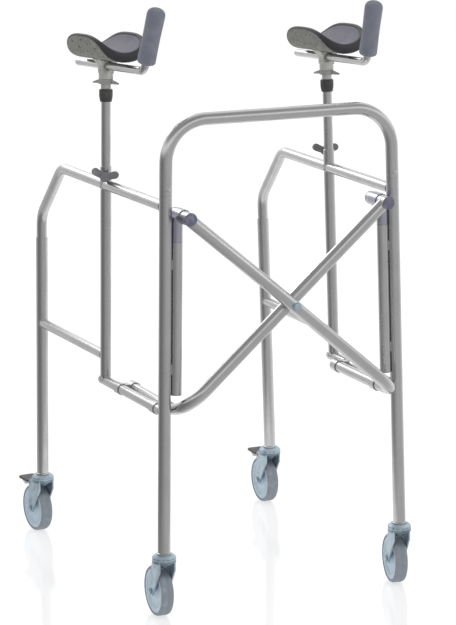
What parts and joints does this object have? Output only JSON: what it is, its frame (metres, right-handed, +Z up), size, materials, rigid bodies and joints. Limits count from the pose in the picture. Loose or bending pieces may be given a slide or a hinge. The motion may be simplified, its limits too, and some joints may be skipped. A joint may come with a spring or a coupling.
{
  "type": "forearm support walker",
  "caption": "Folding forearm support walker of bright steel tube on swivel casters, with padded forearm troughs, upright foam grips and braked rear wheels",
  "frame": {"origin": "centre of the bounding box's base, on the floor that the wheels stand on", "axes": "+Z up; +X towards the user's left; +Y backwards, towards the user, so the hoop and cross are at -Y"},
  "size_m": [0.5896, 0.8355, 1.1852],
  "materials": {
    "chromed_steel": "bright chromed steel tube",
    "zinc_plate": "blue-grey zinc plate, satin",
    "slate_plastic": "moulded, satin",
    "black_plastic": "moulded, satin",
    "cast_aluminium": "cast, tumbled",
    "grey_rubber": "moulded grey, satin",
    "grip_foam": "foam sleeve, matte",
    "padding": "moulded soft foam pad, leather-like skin"
  },
  "bodies": {
    "right_frame": {"right_front_post": "chromed_steel", "right_rear_post": "chromed_steel", "right_side_tube": "chromed_steel", "right_strut": "chromed_steel", "right_mid_rail": "chromed_steel", "right_lower_rail": "chromed_steel", "right_front_pivot_clamp": "chromed_steel", "right_rear_pivot_clamp": "chromed_steel"},
    "left_frame": {"left_front_post": "chromed_steel", "left_rear_post": "chromed_steel", "left_side_tube": "chromed_steel", "left_strut": "chromed_steel", "left_mid_rail": "chromed_steel", "left_lower_rail": "chromed_steel", "left_front_pivot_clamp": "chromed_steel", "left_rear_pivot_clamp": "chromed_steel"},
    "hoop": {"hoop": "chromed_steel"},
    "right_cross": {"right_cross_tube": "chromed_steel", "right_cross_front_cap": "slate_plastic", "right_cross_rear_cap": "slate_plastic", "centre_bolt": "zinc_plate"},
    "left_cross": {"left_cross_tube": "chromed_steel", "left_cross_front_cap": "slate_plastic", "left_cross_rear_cap": "slate_plastic"},
    "right_slider": {"right_saddle": "zinc_plate", "right_slider_rod": "chromed_steel"},
    "right_front_caster": {"right_front_fork": "zinc_plate", "right_front_axle": "zinc_plate"},
    "right_front_wheel": {"right_front_wheel": "grey_rubber"},
    "right_rear_caster": {"right_rear_fork": "zinc_plate", "right_rear_axle": "zinc_plate"},
    "right_rear_wheel": {"right_rear_wheel": "grey_rubber"},
    "right_brake_pedal": {"right_rear_brake_pedal": "black_plastic"},
    "right_support": {"right_support_tube": "chromed_steel", "right_support_bush": "black_plastic"},
    "right_head": {"right_support_head": "cast_aluminium", "right_forearm_trough": "padding"},
    "right_wing_knob": {"right_wing_knob": "black_plastic"},
    "right_grip_bar": {"right_grip_bar": "chromed_steel", "right_grip": "grip_foam"},
    "right_clamp_knob": {"right_clamp_knob": "black_plastic"},
    "left_slider": {"left_saddle": "zinc_plate", "left_slider_rod": "chromed_steel"},
    "left_front_caster": {"left_front_fork": "zinc_plate", "left_front_axle": "zinc_plate"},
    "left_front_wheel": {"left_front_wheel": "grey_rubber"},
    "left_rear_caster": {"left_rear_fork": "zinc_plate", "left_rear_axle": "zinc_plate"},
    "left_rear_wheel": {"left_rear_wheel": "grey_rubber"},
    "left_brake_pedal": {"left_rear_brake_pedal": "black_plastic"},
    "left_support": {"left_support_tube": "chromed_steel", "left_support_bush": "black_plastic"},
    "left_head": {"left_support_head": "cast_aluminium", "left_forearm_trough": "padding"},
    "left_wing_knob": {"left_wing_knob": "black_plastic"},
    "left_grip_bar": {"left_grip_bar": "chromed_steel", "left_grip": "grip_foam"},
    "left_clamp_knob": {"left_clamp_knob": "black_plastic"}
  },
  "joints": [
    {"name": "cross_fold", "type": "hinge", "parent": "right_frame", "child": "right_cross", "pos_m": [-0.22555, -0.34103, 0.4125], "axis": [0, -1, 0], "range_deg": [0, 15]},
    {"name": "cross_centre", "type": "hinge", "parent": "right_cross", "child": "left_cross", "pos_m": [0, -0.34103, 0.61115], "axis": [0, 1, 0], "range_deg": [-0.5, 32.2]},
    {"name": "left_fold", "type": "hinge", "parent": "left_cross", "child": "left_frame", "pos_m": [0.22555, -0.34103, 0.4125], "axis": [0, -1, 0], "range_deg": [-0.5, 15.5]},
    {"name": "right_slider_turn", "type": "hinge", "parent": "left_cross", "child": "right_slider", "pos_m": [-0.20762, -0.34103, 0.794], "axis": [0, -1, 0], "range_deg": [-0.5, 17.2]},
    {"name": "left_slider_turn", "type": "hinge", "parent": "right_cross", "child": "left_slider", "pos_m": [0.20762, -0.34103, 0.794], "axis": [0, 1, 0], "range_deg": [-0.5, 17.2]},
    {"name": "hoop_lift", "type": "slide", "parent": "right_frame", "child": "hoop", "axis": [0.0227, 0.0004, 0.9997], "range_m": [0, 0.08]},
    {"name": "right_front_swivel", "type": "hinge", "parent": "right_frame", "child": "right_front_caster", "pos_m": [-0.25508, -0.34115, 0.113], "axis": [0, 0, 1], "continuous": true},
    {"name": "right_front_roll", "type": "hinge", "parent": "right_front_caster", "child": "right_front_wheel", "pos_m": [-0.25508, -0.31115, 0.05], "axis": [1, 0, 0], "continuous": true},
    {"name": "right_rear_swivel", "type": "hinge", "parent": "right_frame", "child": "right_rear_caster", "pos_m": [-0.26798, 0.33073, 0.113], "axis": [0, 0, 1], "continuous": true},
    {"name": "right_rear_roll", "type": "hinge", "parent": "right_rear_caster", "child": "right_rear_wheel", "pos_m": [-0.27138, 0.36054, 0.05], "axis": [0.9936, 0.1132, 0], "continuous": true},
    {"name": "right_brake", "type": "hinge", "parent": "right_rear_caster", "child": "right_brake_pedal", "pos_m": [-0.27127, 0.35954, 0.1085], "axis": [0.9936, 0.1132, 0], "range_deg": [-3, 6]},
    {"name": "right_height", "type": "slide", "parent": "right_frame", "child": "right_support", "axis": [0.0227, 0.0004, 0.9997], "range_m": [-0.11, 0.12]},
    {"name": "right_head_turn", "type": "hinge", "parent": "right_support", "child": "right_head", "pos_m": [-0.2412, -0.03532, 1.00485], "axis": [0.0227, 0.0004, 0.9997], "range_deg": [-60, 60]},
    {"name": "right_wing_turn", "type": "hinge", "parent": "right_head", "child": "right_wing_knob", "pos_m": [-0.24097, -0.03532, 1.01484], "axis": [0.0227, 0.0004, 0.9997], "range_deg": [-120, 120]},
    {"name": "right_bar_slide", "type": "slide", "parent": "right_head", "child": "right_grip_bar", "axis": [0.0202, -0.9988, 0.0454], "range_m": [-0.06, 0.04]},
    {"name": "right_clamp_turn", "type": "hinge", "parent": "right_frame", "child": "right_clamp_knob", "pos_m": [-0.24511, -0.0354, 0.83219], "axis": [-0.4367, -0.8996, 0.0103], "range_deg": [-15, 45]},
    {"name": "left_front_swivel", "type": "hinge", "parent": "left_frame", "child": "left_front_caster", "pos_m": [0.25508, -0.34115, 0.113], "axis": [0, 0, 1], "continuous": true},
    {"name": "left_front_roll", "type": "hinge", "parent": "left_front_caster", "child": "left_front_wheel", "pos_m": [0.25978, -0.31152, 0.05], "axis": [0.9877, -0.1564, 0], "continuous": true},
    {"name": "left_rear_swivel", "type": "hinge", "parent": "left_frame", "child": "left_rear_caster", "pos_m": [0.26798, 0.33073, 0.113], "axis": [0, 0, 1], "continuous": true},
    {"name": "left_rear_roll", "type": "hinge", "parent": "left_rear_caster", "child": "left_rear_wheel", "pos_m": [0.26798, 0.36073, 0.05], "axis": [1, 0, 0], "continuous": true},
    {"name": "left_brake", "type": "hinge", "parent": "left_rear_caster", "child": "left_brake_pedal", "pos_m": [0.26798, 0.35973, 0.1085], "axis": [1, 0, 0], "range_deg": [-3, 6]},
    {"name": "left_height", "type": "slide", "parent": "left_frame", "child": "left_support", "axis": [-0.0227, 0.0004, 0.9997], "range_m": [-0.11, 0.12]},
    {"name": "left_head_turn", "type": "hinge", "parent": "left_support", "child": "left_head", "pos_m": [0.2414, -0.03533, 0.99585], "axis": [-0.0227, 0.0004, 0.9997], "range_deg": [-60, 60]},
    {"name": "left_wing_turn", "type": "hinge", "parent": "left_head", "child": "left_wing_knob", "pos_m": [0.24118, -0.03532, 1.00585], "axis": [-0.0227, 0.0004, 0.9997], "range_deg": [-120, 120]},
    {"name": "left_bar_slide", "type": "slide", "parent": "left_head", "child": "left_grip_bar", "axis": [-0.0202, -0.9988, 0.0454], "range_m": [-0.06, 0.04]},
    {"name": "left_clamp_turn", "type": "hinge", "parent": "left_frame", "child": "left_clamp_knob", "pos_m": [0.24486, -0.0354, 0.84339], "axis": [0.1753, 0.9845, 0.0035], "range_deg": [-15, 45]}
  ],
  "couplings": [
    {"joint": "cross_centre", "follows": "cross_fold", "ratio": 2.1158},
    {"joint": "left_fold", "follows": "cross_fold", "ratio": 1},
    {"joint": "right_slider_turn", "follows": "cross_fold", "ratio": 1.1158},
    {"joint": "left_slider_turn", "follows": "cross_fold", "ratio": 1.1158}
  ]
}
